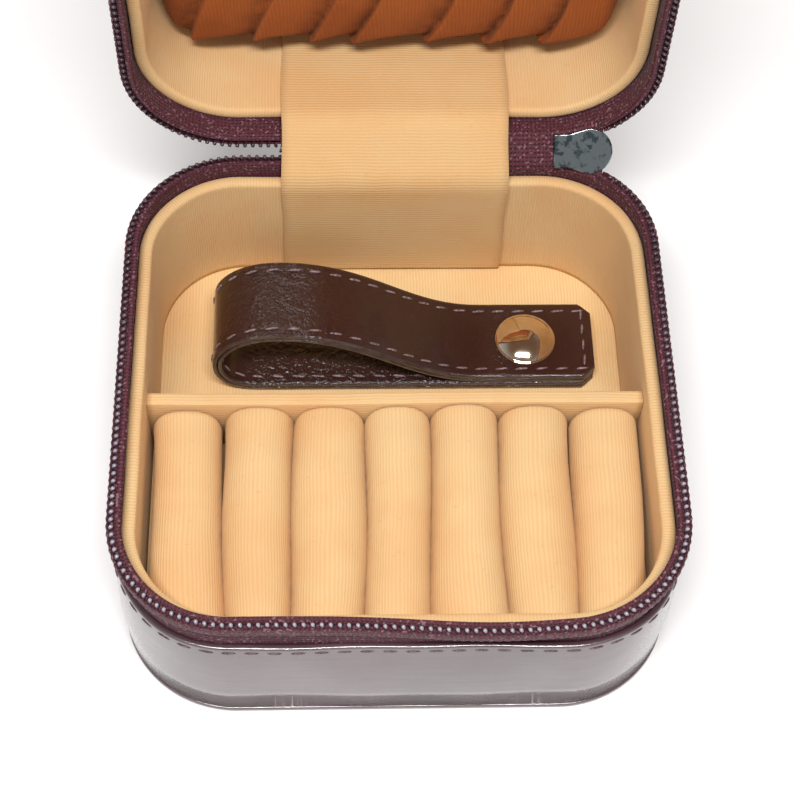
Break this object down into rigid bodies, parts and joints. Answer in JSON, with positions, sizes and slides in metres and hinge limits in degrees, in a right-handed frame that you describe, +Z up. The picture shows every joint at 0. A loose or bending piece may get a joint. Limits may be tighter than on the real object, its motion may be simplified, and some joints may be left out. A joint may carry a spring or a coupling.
{
  "type": "leather jewellery case",
  "caption": "Square zip-round leather jewellery case with soft corners, open lid with a gathered pocket, divided tray with ring rolls, and a snap strap for bracelets.",
  "frame": {"origin": "centre of the base's underside", "axes": "+X to the right, +Y from the front towards the hinge, +Z up"},
  "size_m": [0.1026, 0.1379, 0.1379],
  "materials": {
    "outer_leather": "glossy smooth-grained, dark burgundy",
    "lining_cloth": "finely ribbed tan cloth",
    "roll_cloth": "finely ribbed tan cloth over foam",
    "pocket_cloth": "gathered rust-brown ribbed cloth",
    "board": "grey-brown fibre board, hidden between leather and lining",
    "zip_tape": "knitted burgundy tape",
    "zip_teeth": "near-black nylon",
    "slider_metal": "worn nickel plate",
    "strap_leather": "glossy dark brown",
    "snap_metal": "polished nickel"
  },
  "bodies": {
    "base": {"base_leather_bottom": "outer_leather", "base_leather_wall": "outer_leather", "base_bottom_board": "board", "base_wall_board": "board", "base_floor_pad": "lining_cloth", "base_lining_wall": "lining_cloth", "roll_bed": "lining_cloth", "divider": "lining_cloth", "ring_roll_1": "roll_cloth", "ring_roll_2": "roll_cloth", "ring_roll_3": "roll_cloth", "ring_roll_4": "roll_cloth", "ring_roll_5": "roll_cloth", "ring_roll_6": "roll_cloth", "ring_roll_7": "roll_cloth", "lower_zip_tape": "zip_tape", "lower_zip_teeth": "zip_teeth", "hinge_lining": "lining_cloth", "hinge_leather": "outer_leather"},
    "lid": {"lid_leather_top": "outer_leather", "lid_leather_wall": "outer_leather", "lid_top_board": "board", "lid_wall_board": "board", "lid_ceiling_pad": "lining_cloth", "lid_lining_wall": "lining_cloth", "lid_pocket": "pocket_cloth", "pocket_elastic": "pocket_cloth", "upper_zip_tape": "zip_tape", "upper_zip_teeth": "zip_teeth"},
    "closed_row": {"zip_chain": "zip_teeth"},
    "slider": {"slider_body": "slider_metal", "slider_bridge": "slider_metal"},
    "pull": {"pull_tab": "slider_metal"},
    "strap_foot": {"strap_lower": "strap_leather", "strap_lower_lining": "strap_leather", "snap_stud": "snap_metal", "snap_back": "snap_metal"},
    "strap_flap": {"strap_upper": "strap_leather", "strap_upper_lining": "strap_leather", "snap_socket": "snap_metal", "snap_cap": "snap_metal"}
  },
  "joints": [
    {"name": "lid_hinge", "type": "hinge", "parent": "base", "child": "lid", "pos_m": [0, 0.051, 0.0356], "axis": [-1, 0, 0], "range_deg": [-90, 0], "deforming": ["hinge_lining", "hinge_leather"]},
    {"name": "closed_row_turn", "type": "hinge", "parent": "base", "child": "closed_row", "pos_m": [0, 0.051, 0.0356], "axis": [-1, 0, 0], "range_deg": [-45, 0]},
    {"name": "slider_run", "type": "slide", "parent": "closed_row", "child": "slider", "axis": [-1, 0, 0], "range_m": [0, 0.004]},
    {"name": "pull_swing", "type": "hinge", "parent": "slider", "child": "pull", "pos_m": [0.0372, 0.05429, 0.03231], "axis": [1, 0, 0], "range_deg": [-8, 40]},
    {"name": "strap_lift", "type": "slide", "parent": "base", "child": "strap_foot", "axis": [0, 0, 1], "range_m": [0, 0.08]},
    {"name": "strap_open", "type": "hinge", "parent": "strap_foot", "child": "strap_flap", "pos_m": [-0.035, 0.0242, 0.013], "axis": [0, -1, 0], "range_deg": [0, 35]}
  ],
  "couplings": [
    {"joint": "closed_row_turn", "follows": "lid_hinge", "ratio": 0.5}
  ]
}
